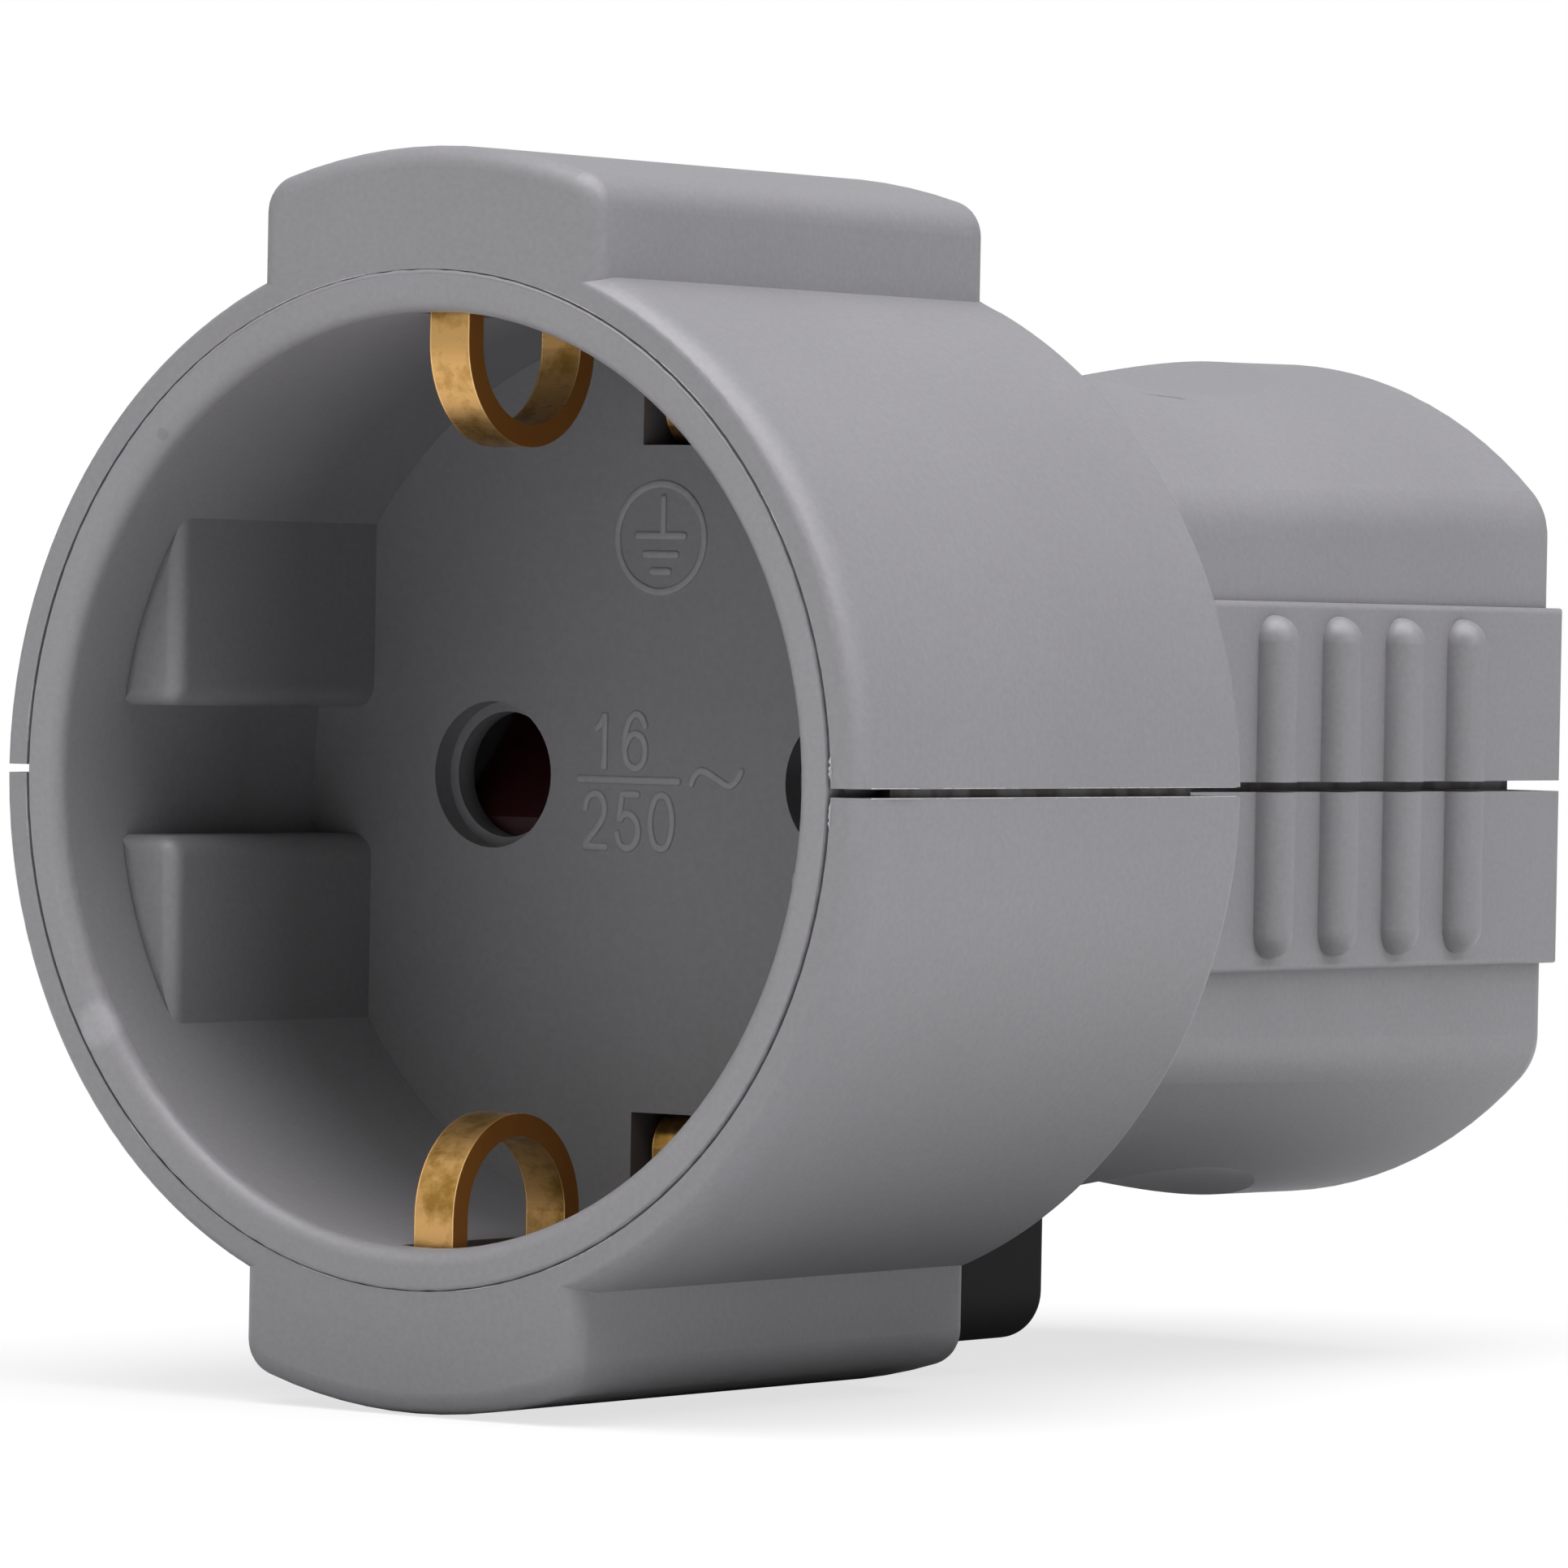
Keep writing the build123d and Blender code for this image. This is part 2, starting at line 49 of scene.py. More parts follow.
# Places: the socket axis, the socket face and the base of the recess
insertLow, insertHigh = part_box("socket_insert")
axisHeight = (insertLow.z + insertHigh.z) / 2
faceY = insertLow.y
baseY = faceY + recessDepth
faceMiddle = Vector((0, faceY, axisHeight))


def srgb(code):
    # hex to the linear colour that the shaders want
    parts = [int(code[i:i + 2], 16) / 255 for i in (1, 3, 5)]
    return [c / 12.92 if c <= 0.04045 else ((c + 0.055) / 1.055) ** 2.4 for c in parts] + [1.0]


def addNode(tree, kind, settings=None, **links):
    # a node with its settings, and what feeds its inputs, which are named or numbered as i0:
    # a node by its first output, a socket, or a plain value
    node = tree.nodes.new(kind)
    for key, value in (settings or {}).items():
        if key == "stops":
            elements = node.color_ramp.elements
            while len(elements) < len(value):
                elements.new(0.5)
            for element, (place, colour) in zip(elements, value):
                element.position = place
                element.color = colour
        else:
            setattr(node, key, value)
    for key, value in links.items():
        socket = node.inputs[int(key[1:]) if key[1:].isdigit() else key.replace("_", " ")]
        if isinstance(value, bpy.types.Node):
            value = value.outputs[0]
        if isinstance(value, bpy.types.NodeSocket):
            tree.links.new(value, socket)
        else:
            socket.default_value = value
    return node


def newMaterial(name):
    material = bpy.data.materials.new(name)
    material.use_nodes = True
    tree = material.node_tree
    tree.nodes.clear()
    output = addNode(tree, "ShaderNodeOutputMaterial")
    return material, tree, output


# Moulded plastic
housingGrey = {
    "colour": "#868587",
    "cloud": 0.03,              # share by which the faint flow clouds lighten and darken the colour
    "cloudSize": 14.0,          # mm
    "grainSize": 0.28,          # mm between the pits of the eroded mould
    "grainDepth": 0.012,        # mm
    "grainBump": 0.6,
    "speckle": 0.05,            # share by which the grain lightens and darkens the colour
    "roughness": 0.42,
    "roughSpread": 0.04,        # by how much the clouds raise and lower the roughness
    "scuffRagged": 0.8,         # how far the clouds shift the edge of a scuff, as a share of its size
    "scuffEdge": (1.1, 1.5),    # where that edge starts and ends, as shares of its size
}


def mouldedPlastic(name, look):
    # ABS from a spark-eroded mould: satin and slightly mottled,
    # its highlights broken up by a fine even grain
    material, tree, output = newMaterial(name)
    place = addNode(tree, "ShaderNodeTexCoord").outputs["Object"]
    split = addNode(tree, "ShaderNodeSeparateXYZ", Vector=place)
    clouds = addNode(tree, "ShaderNodeTexNoise", Vector=place, Scale=1000 / look["cloudSize"],
                     Detail=3.0, Roughness=0.55)
    grain = addNode(tree, "ShaderNodeTexNoise", Vector=place, Scale=1000 / look["grainSize"],
                    Detail=2.0, Roughness=0.6)
    lift, fleck = (addNode(tree, "ShaderNodeMapRange", Value=noise, From_Min=0.3, From_Max=0.7,
                           To_Min=1 - share, To_Max=1 + share)
                   for noise, share in ((clouds, look["cloud"]), (grain, look["speckle"])))
    shade = addNode(tree, "ShaderNodeMath", {"operation": "MULTIPLY"}, i0=lift, i1=fleck)
    for x, y, z, size, share in look.get("scuffs", ()):
        inner, outer = (size * edge * mm for edge in look["scuffEdge"])
        middle = faceMiddle + Vector((x, y, z)) * mm
        away = addNode(tree, "ShaderNodeVectorMath", {"operation": "DISTANCE"}, i0=place, i1=middle)
        ragged = addNode(tree, "ShaderNodeMath", {"operation": "MULTIPLY_ADD"}, i0=clouds,
                         i1=look["scuffRagged"] * size * mm, i2=away.outputs["Value"])
        spot = addNode(tree, "ShaderNodeMapRange", Value=ragged, From_Min=inner, From_Max=outer,
                       To_Min=share, To_Max=1.0)
        shade = addNode(tree, "ShaderNodeMath", {"operation": "MULTIPLY"}, i0=shade, i1=spot)
    # painted shade: the colour darkens with depth behind the socket face
    if "depthShade" in look:
        reach = look["depthShade"][-1][0]
        stops = [(back / reach, (share, share, share, 1)) for back, share in look["depthShade"]]
        depth = addNode(tree, "ShaderNodeMapRange", Value=split.outputs["Y"], From_Min=faceY,
                        From_Max=faceY + reach * mm)
        dim = addNode(tree, "ShaderNodeValToRGB", {"stops": stops}, Fac=depth)
        shade = addNode(tree, "ShaderNodeMath", {"operation": "MULTIPLY"}, i0=shade, i1=dim)
    colour = addNode(tree, "ShaderNodeVectorMath", {"operation": "SCALE"},
                     i0=srgb(look["colour"])[:3], Scale=shade)
    # painted shade: the tongue within the gap between the halves is darkened in brown runs along it
    if "paintedGapShade" in look:
        paintedGapShade = look["paintedGapShade"]
        height = addNode(tree, "ShaderNodeMath", {"operation": "SUBTRACT"},
                         i0=split.outputs["Z"], i1=axisHeight)
        away = addNode(tree, "ShaderNodeMath", {"operation": "ABSOLUTE"}, i0=height)
        inside = addNode(tree, "ShaderNodeMath", {"operation": "LESS_THAN"},
                         i0=away, i1=paintedGapShade["halfGap"] * mm)
        runs = addNode(tree, "ShaderNodeTexNoise", Vector=place, Scale=1000 / paintedGapShade["run"], Detail=2.0)
        share = addNode(tree, "ShaderNodeMapRange", Value=runs, From_Min=paintedGapShade["noise"][0],
                        From_Max=paintedGapShade["noise"][1], To_Min=paintedGapShade["most"], To_Max=paintedGapShade["least"])
        shadedGap = addNode(tree, "ShaderNodeMath", {"operation": "MULTIPLY"}, i0=inside, i1=share)
        colour = addNode(tree, "ShaderNodeMix", {"data_type": "RGBA"}, i0=shadedGap, i6=colour,
                         i7=srgb(paintedGapShade["colour"])).outputs[2]
    bump = addNode(tree, "ShaderNodeBump", Height=grain, Strength=look["grainBump"],
                   Distance=look["grainDepth"] * mm)
    rough = addNode(tree, "ShaderNodeMapRange", Value=clouds,
                    To_Min=look["roughness"] - look["roughSpread"],
                    To_Max=look["roughness"] + look["roughSpread"])
    shader = addNode(tree, "ShaderNodeBsdfPrincipled", Base_Color=colour, Roughness=rough, IOR=1.5,
                     Normal=bump)
    tree.links.new(shader.outputs["BSDF"], output.inputs["Surface"])
    return material


# Rolled and drawn metal
stripBrass = {
    "colour": "#c89d60",
    "stain": "#96702f",         # where handling has browned the brass
    "stainSize": 1.6,           # mm
    "stainRange": (0.34, 0.54), # the noise from fully stained to clean
    "paintedGlint": "#e9cd96",         # painted highlight: a pale line where the face meets the sheared edge
    "paintedGlintFrom": 0.985,         # mm from the middle of the strip
    "edge": "#aa6e2c",          # sheared edges
    "edgeFrom": 1.02,           # mm
    "edgeRough": 0.2,           # how much rougher they are
    "metal": 0.86,              # below 1 for the thin dull film on handled brass
    "edgeMetal": 0.7,
    "linePitch": 0.1,           # mm between the rolling lines
    "lineLength": 10.0,         # how many times longer than their pitch they are
    "lineDepth": 0.01,          # mm
    "lineBump": 0.5,
    "roughness": (0.19, 0.43),
}


def rolledMetal(name, look):
    # Brass strip: bright faces with fine lines across the strip, browned in places,
    # its sheared edges dull and brown
    material, tree, output = newMaterial(name)
    place = addNode(tree, "ShaderNodeTexCoord").outputs["Object"]
    along = addNode(tree, "ShaderNodeMapping", Vector=place, Scale=(1 / look["lineLength"], 1.0, 1.0))
    lines = addNode(tree, "ShaderNodeTexNoise", Vector=along, Scale=1000 / look["linePitch"],
                    Detail=3.0, Roughness=0.65)
    stain = addNode(tree, "ShaderNodeTexNoise", Vector=place, Scale=1000 / look["stainSize"],
                    Detail=4.0, Roughness=0.65)
    stops = list(zip(look["stainRange"], (srgb(look["stain"]), srgb(look["colour"]))))
    face = addNode(tree, "ShaderNodeValToRGB", {"stops": stops}, Fac=stain)
    split = addNode(tree, "ShaderNodeSeparateXYZ", Vector=place)
    away = addNode(tree, "ShaderNodeMath", {"operation": "ABSOLUTE"}, i0=split.outputs["X"])
    # painted highlight: a pale band on the face just inside the sheared edge
    edge, rim = (addNode(tree, "ShaderNodeMath", {"operation": "GREATER_THAN"}, i0=away, i1=look[key] * mm)
                 for key in ("edgeFrom", "paintedGlintFrom"))
    bright = addNode(tree, "ShaderNodeMix", {"data_type": "RGBA"}, i0=rim, i6=face, i7=srgb(look["paintedGlint"]))
    colour = addNode(tree, "ShaderNodeMix", {"data_type": "RGBA"}, i0=edge, i6=bright.outputs[2],
                     i7=srgb(look["edge"]))
    metal = addNode(tree, "ShaderNodeMapRange", Value=edge, To_Min=look["metal"],
                    To_Max=look["edgeMetal"])
    bump = addNode(tree, "ShaderNodeBump", Height=lines, Strength=look["lineBump"],
                   Distance=look["lineDepth"] * mm)
    smoothest, roughest = look["roughness"]
    rough = addNode(tree, "ShaderNodeMapRange", Value=lines, To_Min=smoothest, To_Max=roughest)
    dull = addNode(tree, "ShaderNodeMath", {"operation": "MULTIPLY_ADD"}, i0=edge,
                   i1=look["edgeRough"], i2=rough)
    shader = addNode(tree, "ShaderNodeBsdfPrincipled", Base_Color=colour.outputs[2], Metallic=metal,
                     Roughness=dull, Normal=bump)
    tree.links.new(shader.outputs["BSDF"], output.inputs["Surface"])
    return material


# The housing's ABS: the tongue in the gap between the halves is darkened in brown runs,
# painted shade for the shadow that falls in the gap
shellGrey = dict(housingGrey, paintedGapShade={
    "halfGap": 0.172,           # mm
    "run": 2.2,                 # mm
    "noise": (0.42, 0.56),      # the noise from darkest to palest
    "colour": "#2b1a0c",
    "most": 0.97,
    "least": 0.5,
})
# The insert's ABS: painted shade darkens it with depth into the recess and the pin holes,
# with a scuffed rim and two specks
insertGrey = dict(
    housingGrey,
    colour="#8a898b",
    # mm behind the face, and the share of the colour that is left there
    depthShade=((0.0, 1.0), (6.0, 0.84), (12.5, 0.6), (17.2, 0.68), (19.0, 0.64), (20.0, 0.2),
          (25.0, 0.2)),
    # x, y, z in mm from the middle of the face, size in mm, share of the colour
    scuffs=((-17.0, 0.0, -10.8, 1.15, 1.3), (-13.97, 0.0, 14.34, 0.28, 0.82),
            (-18.5, 0.0, 6.2, 0.2, 0.85)),
)
# Thin flash is painted pale, a painted highlight along the seam and the split, and raised marks keep the
# plain colour without the depth shade painted on their ground, a painted highlight for their lit tops
flashHighlightGrey = dict(housingGrey, colour="#b9b8ba", grainDepth=0.0)
markHighlightGrey = dict(housingGrey, colour="#878687", grainDepth=0.0)
# Nylon: the shutter is a dark red gleam in the pin holes, the carrier is hidden, the block is flat black
shutterRed = dict(housingGrey, colour="#2c0305", roughness=0.45)
carrierDark = dict(housingGrey, colour="#242426", roughness=0.5)
blockBlack = dict(housingGrey, colour="#060505", roughness=0.75)
# Rubber: black and dull, with a deeper grain
bushingBlack = dict(housingGrey, colour="#161616", roughness=0.68, grainDepth=0.02)
# Turned brass: the strip's colour, more even, with no sheared edges
turnedBrass = dict(stripBrass, edgeFrom=100.0, paintedGlintFrom=100.0, stainSize=5.0, linePitch=0.06)
# Zinc plate and spring wire: cold light grey with a soft gleam
zincGrey = dict(turnedBrass, colour="#c3c5c8", stain="#a7a9ae", roughness=(0.24, 0.48))

finishes = {
    "housing_plastic": mouldedPlastic("mouldedAbsHousing", shellGrey),
    "insert_plastic": mouldedPlastic("mouldedAbsInsert", insertGrey),
    "shutter_plastic": mouldedPlastic("mouldedNylonShutter", shutterRed),
    "carrier_plastic": mouldedPlastic("mouldedNylonCarrier", carrierDark),
    "contact_brass": rolledMetal("turnedBrassContact", turnedBrass),
    "strip_brass": rolledMetal("rolledBrassStrip", stripBrass),
    "spring_steel": rolledMetal("drawnSpringSteel", zincGrey),
    "zinc_steel": rolledMetal("zincPlatedSteel", zincGrey),
    "black_rubber": mouldedPlastic("mouldedRubberInlet", bushingBlack),
    "black_plastic": mouldedPlastic("mouldedNylonBlock", blockBlack),
}
paintedHighlightFlash = mouldedPlastic("paintedHighlightAbsFlash", flashHighlightGrey)
paintedHighlightMarks = mouldedPlastic("paintedHighlightAbsMarks", markHighlightGrey)
for part in frame["record"]["subparts"]:
    mesh = nodes[part["node"]].data
    mesh.materials.clear()
    mesh.materials.append(finishes[part["material_slot"]])
print("finishes done")


def finishPiece(bm, name, slot, material=None, smooth=True):
    bmesh.ops.recalc_face_normals(bm, faces=bm.faces)
    mesh = bpy.data.meshes.new(name)
    bm.to_mesh(mesh)
    bm.free()
    if smooth:
        mesh.shade_smooth()
    mesh.materials.append(material or finishes[slot])
    piece = bpy.data.objects.new(name, mesh)
    bpy.context.scene.collection.objects.link(piece)
    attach(piece, "coupler")


def loft(bm, rings, closed=False):
    # skins the rings of points in turn: the last ring's edges are extruded and moved to the next
    verts = [bm.verts.new(point) for point in rings[0]]
    start = bm.faces.new(verts)
    edges = list(start.edges)
    for ring in rings[1:] + (rings[:1] if closed else []):
        made = bmesh.ops.extrude_edge_only(bm, edges=edges)["geom"]
        fresh = {item for item in made if isinstance(item, bmesh.types.BMVert)}
        edges = [item for item in made
                 if isinstance(item, bmesh.types.BMEdge) and fresh.issuperset(item.verts)]
        verts = [next(e.other_vert(v) for e in v.link_edges if e.other_vert(v) in fresh) for v in verts]
        for vert, point in zip(verts, ring):
            vert.co = point
    if closed:
        seam = list(start.verts) + verts
        bmesh.ops.delete(bm, geom=[start], context="FACES_ONLY")
        bmesh.ops.remove_doubles(bm, verts=seam, dist=1e-7)
    else:
        bmesh.ops.holes_fill(bm, edges=edges, sides=len(verts))


# Raised marks on the base of the recess, as lines (x, z) in mm from the socket axis
markLook = {
    "height": 0.1,
    "width": 0.36,
    "sink": 0.02,                   # how far a ridge starts below the base
    "crown": 0.6,                   # 1 is a half round, and less is flatter on top
    "endAngles": (0.5, 1.0, 1.4),   # radians round the rounded end of a line
    "ringMiddle": (-0.57, 10.4),
    "ringRadius": 2.33,
    "ringSteps": 72,
    "stem": (0.12, 0.1, 1.72),
    "bars": ((0.1, 1.25), (-0.72, 0.85), (-1.45, 0.45)),
    "figureSize": (1.28, 2.3),
    "figures": (
        ("16", ((-3.98, 0.48), (-2.42, 0.48))),
        ("250", ((-4.5, -3.0), (-2.72, -3.0), (-0.92, -3.0))),
    ),
    "line": (-4.75, 0.6, -0.08),
    "wave": (1.3, 3.95, 0.1, 0.33),
    "wavePath": ((0.0, -0.8), (0.06, 0.2), (0.17, 0.9), (0.32, 0.7), (0.55, -0.25), (0.72, -0.9),
                 (0.83, -0.75), (0.93, 0.0), (1.0, 1.0)),
}
digitPaths = {
    "1": ((0.12, 0.72), (0.3, 0.82), (0.45, 1.0), (0.45, 0.0)),
    "6": ((0.92, 0.78), (0.8, 0.93), (0.55, 1.0), (0.28, 0.9), (0.12, 0.66), (0.08, 0.38),
          (0.17, 0.12), (0.4, 0.0), (0.65, 0.0), (0.88, 0.12), (0.95, 0.32), (0.86, 0.52),
          (0.64, 0.62), (0.4, 0.61), (0.2, 0.5), (0.1, 0.36)),
    "2": ((0.08, 0.72), (0.18, 0.92), (0.45, 1.0), (0.74, 0.95), (0.9, 0.76), (0.84, 0.55),
          (0.6, 0.36), (0.28, 0.17), (0.06, 0.0), (0.95, 0.0)),
    "5": ((0.88, 1.0), (0.24, 1.0), (0.14, 0.5), (0.36, 0.62), (0.62, 0.62), (0.86, 0.5),
          (0.95, 0.3), (0.84, 0.1), (0.6, 0.0), (0.34, 0.0), (0.14, 0.1), (0.05, 0.26)),
    "0": ((0.5, 1.0), (0.24, 0.93), (0.08, 0.7), (0.04, 0.5), (0.08, 0.3), (0.24, 0.07),
          (0.5, 0.0), (0.76, 0.07), (0.92, 0.3), (0.96, 0.5), (0.92, 0.7), (0.76, 0.93)),
}
sharpCorners = {"1": (2,), "2": (8,), "5": (1, 2)}


def smoothPath(points, closed=False, sharp=(), steps=6):
    # a smooth curve through the points, straight into and out of a sharp one
    count = len(points)
    path = []
    for i in range(count if closed else count - 1):
        a, b = points[i], points[(i + 1) % count]
        before = points[i - 1] if (closed or i > 0) and i not in sharp else a
        after = points[(i + 2) % count] if (closed or i < count - 2) and (i + 1) not in sharp else b
        for k in range(steps):
            t = k / steps
            path.append(tuple(
                0.5 * (2 * q + (r - p) * t + (2 * p - 5 * q + 4 * r - s) * t * t
                       + (3 * q - p - 3 * r + s) * t ** 3)
                for p, q, r, s in zip(before, a, b, after)))
    return path if closed else path + [points[-1]]


def raisedLine(bm, path, closed=False, sides=8):
    # a low rounded ridge along the path, standing off the base towards the socket face
    half, high, sink = markLook["width"] / 2, markLook["height"], markLook["sink"]
    count = len(path)
    sections = []
    for i, (x, z) in enumerate(path):
        ahead = path[(i + 1) % count] if closed or i < count - 1 else path[i]
        behind = path[i - 1] if closed or i > 0 else path[i]
        along = Vector((ahead[0] - behind[0], ahead[1] - behind[1])).normalized()
        sections.append((Vector((x, z)), Vector((-along.y, along.x)), 1.0))
    if not closed:
        for turn in (-1, 1):
            middle, across, _ = sections[0 if turn < 0 else -1]
            along = Vector((across.y, -across.x)) * turn
            ends = [(middle + along * half * math.sin(a), across, math.cos(a))
                    for a in markLook["endAngles"]]
            sections = list(reversed(ends)) + sections if turn < 0 else sections + ends
    rings = []
    for middle, across, share in sections:
        ring = []
        for k in range(sides + 1):
            angle = math.pi * k / sides
            point = middle + across * half * share * math.cos(angle)
            rise = high * share * math.sin(angle) ** markLook["crown"] - sink
            ring.append((point.x * mm, baseY - rise * mm, axisHeight + point.y * mm))
        rings.append(ring)
    loft(bm, rings, closed)


def finishMarks(bm, name):
    # a ridge's foot lies below the base, and its edges stay sharp so that the ridge shades as round
    for edge in bm.edges:
        if all(vert.co.y > baseY + 0.5 * markLook["sink"] * mm for vert in edge.verts):
            edge.smooth = False
    # the marks' plain colour, without the depth shade painted on the base, stands as a painted highlight
    # on their tops
    finishPiece(bm, name, "insert_plastic", material=paintedHighlightMarks)


def earthMark():
    bm = bmesh.new()
    cx, cz = markLook["ringMiddle"]
    radius, steps = markLook["ringRadius"], markLook["ringSteps"]
    angles = [math.tau * k / steps for k in range(steps)]
    ring = [(cx + radius * math.cos(a), cz + radius * math.sin(a)) for a in angles]
    raisedLine(bm, ring, closed=True)
    x, low, top = markLook["stem"]
    raisedLine(bm, [(cx + x, cz + low), (cx + x, cz + top)])
    for level, half in markLook["bars"]:
        raisedLine(bm, [(cx - half, cz + level), (cx + half, cz + level)])
    finishMarks(bm, "earth_mark")


def digit(bm, figure, corner):
    wide, tall = markLook["figureSize"]
    closed = figure == "0"
    path = smoothPath(digitPaths[figure], closed, sharpCorners.get(figure, ()))
    raisedLine(bm, [(corner[0] + x * wide, corner[1] + z * tall) for x, z in path], closed)


def ratingMarks():
    bm = bmesh.new()
    for figures, corners in markLook["figures"]:
        for figure, corner in zip(figures, corners):
            digit(bm, figure, corner)
    x0, x1, z = markLook["line"]
    raisedLine(bm, [(x0, z), (x1, z)])
    x0, x1, z, rise = markLook["wave"]
    wave = [(x0 + (x1 - x0) * s, z + rise * t) for s, t in markLook["wavePath"]]
    raisedLine(bm, smoothPath(wave))
    finishMarks(bm, "rating_marks")


earthMark()
ratingMarks()
print("marks done")


# Outer edge of the insert in its seat, in mm: it leans outward into the 0.2 mm gap, least at the right
seamLook = {
    "radius": 21.05,
    "root": 0.02,               # how far it starts inside the insert
    "front": 0.004,             # how far it starts behind the face
    "fill": {"right": 0.055, "top": 0.175, "left": 0.075, "bottom": 0.165},
    "fillRange": (0.03, 0.19),
    "slope": {"right": 0.45, "top": 0.05, "left": 0.14, "bottom": 0.06},    # how far it falls back
    "bend": ((0.3, 0.1), (0.7, 0.45)),      # shares of the fill and the slope on the way out
    "ragged": 0.026,
    "waves": 14,                # how many add up to its raggedness
    "waveTurns": (9, 160),      # how many times one goes up and down round the edge
    "waveHeights": (0.3, 1.0),
    "waveDivide": 5,
    "depth": 1.2,
    "steps": 720,
}


def roundValue(values, angle):
    # a smooth value round the axis from those at the right, top, left and bottom
    r, t, l, b = (values[k] for k in ("right", "top", "left", "bottom"))
    return ((r + t + l + b) / 4 + (r - l) / 2 * math.cos(angle) + (t - b) / 2 * math.sin(angle)
            + (r + l - t - b) / 4 * math.cos(2 * angle))


def seamLip():
    random.seed(4)
    bm = bmesh.new()
    radius, root, depth, steps = (seamLook[key] for key in ("radius", "root", "depth", "steps"))
    least, most = seamLook["fillRange"]
    waves = [(random.randint(*seamLook["waveTurns"]), random.random() * math.tau,
              random.uniform(*seamLook["waveHeights"])) for _ in range(seamLook["waves"])]
    rings = []
    for i in range(steps):
        angle = math.tau * i / steps
        rough = sum(w * math.sin(n * angle + p) for n, p, w in waves) / seamLook["waveDivide"]
        fill = min(max(roundValue(seamLook["fill"], angle) + seamLook["ragged"] * rough, least), most)
        slope = roundValue(seamLook["slope"], angle)
        section = [(-root, seamLook["front"])]
        section += [(out * fill, back * slope) for out, back in seamLook["bend"]]
        section += [(fill, slope + root), (fill, depth), (-root, depth)]
        rings.append([((radius + out) * math.cos(angle) * mm, faceY + back * mm,
                       axisHeight + (radius + out) * math.sin(angle) * mm) for out, back in section])
    loft(bm, rings, closed=True)
    finishPiece(bm, "insert_edge", "insert_plastic")


# Thin flash along the edges of the mould, in mm
flashLook = {
    "thick": 0.06,
    "tip": 0.3,                 # its thickness at the top, as a share
    "sink": 0.04,
    "taper": 4,                 # a run rises over one part in this many at each end
    "ragged": (0.15, 1.0),      # shares of the height
    "seamRadius": 21.27,
    "seamBack": 0.06,
    "seamSteps": 3,             # for each degree
    "fewestSteps": 6,
    # from and to in degrees round the seam, and the height
    "seamRuns": ((97, 116, 0.07), (63, 74, 0.04), (44, 58, 0.04), (28, 36, 0.03), (1, 4, 0.2),
                 (-4, -1, 0.2), (-58, -72, 0.03), (-77, -84, 0.06), (-99, -106, 0.04),
                 (-131, -136, 0.05), (170, 178, 0.05), (-178, -171, 0.07)),
    "sideRadius": 22.68,
    "splitHeight": 0.205,       # above and below the middle of the split
    "splitSteps": 7,            # for each mm
    # from and to behind the face, and the height
    "splitRuns": ((0.9, 4.6, 0.13), (4.6, 12.0, 0.07), (12.0, 27.6, 0.045)),
}


def ribbon(bm, path, outward, rise):
    # a thin ragged fin along the path, standing up by rise at most
    half, tip, taper = flashLook["thick"] / 2, flashLook["tip"], flashLook["taper"]
    rings = []
    count = len(path)
    for i, point in enumerate(path):
        ahead = path[min(i + 1, count - 1)] - path[max(i - 1, 0)]
        across = ahead.cross(outward[i]).normalized() * half
        share = min(1.0, taper * i / count, taper * (count - 1 - i) / count)
        top = point + outward[i] * rise * share * random.uniform(*flashLook["ragged"])
        foot = point - outward[i] * flashLook["sink"]
        rings.append([p * mm + faceMiddle
                      for p in (foot + across, top + across * tip, top - across * tip, foot - across)])
    loft(bm, rings)


def mouldFlash():
    random.seed(9)
    bm = bmesh.new()
    radius = flashLook["seamRadius"]
    for start, end, rise in flashLook["seamRuns"]:
        steps = max(int(abs(end - start) * flashLook["seamSteps"]), flashLook["fewestSteps"])
        angles = [math.radians(start + (end - start) * i / steps) for i in range(steps + 1)]
        path = [Vector((radius * math.cos(a), flashLook["seamBack"], radius * math.sin(a)))
                for a in angles]
        ribbon(bm, path, [Vector((0, -1, 0))] * len(path), rise)
    radius, height = flashLook["sideRadius"], flashLook["splitHeight"]
    for start, end, rise in flashLook["splitRuns"]:
        for side in (1, -1):
            steps = int((end - start) * flashLook["splitSteps"])
            path = [Vector((radius, start + (end - start) * i / steps, side * height))
                    for i in range(steps + 1)]
            ribbon(bm, path, [Vector((1, 0, 0))] * len(path), rise)
    # the flash's pale colour is a painted highlight along the seam and the split
    finishPiece(bm, "mould_flash", "housing_plastic", material=paintedHighlightFlash, smooth=False)


# Small raised dash on the grip, beside the upper dish, in mm
dashLook = {
    "from": (8.05, 41.2, 17.36),
    "to": (8.5, 44.2, 17.22),
    "width": 0.46,
    "height": 0.08,
    "sink": 0.1,
    "startWidth": 0.45,         # shares of the width
    "footWidth": 1.3,
    "topWidth": 0.4,
    # shares of the length and the height
    "profile": ((0.0, 0.1), (0.06, 0.55), (0.5, 0.8), (0.92, 1.0), (1.0, 0.5)),
}


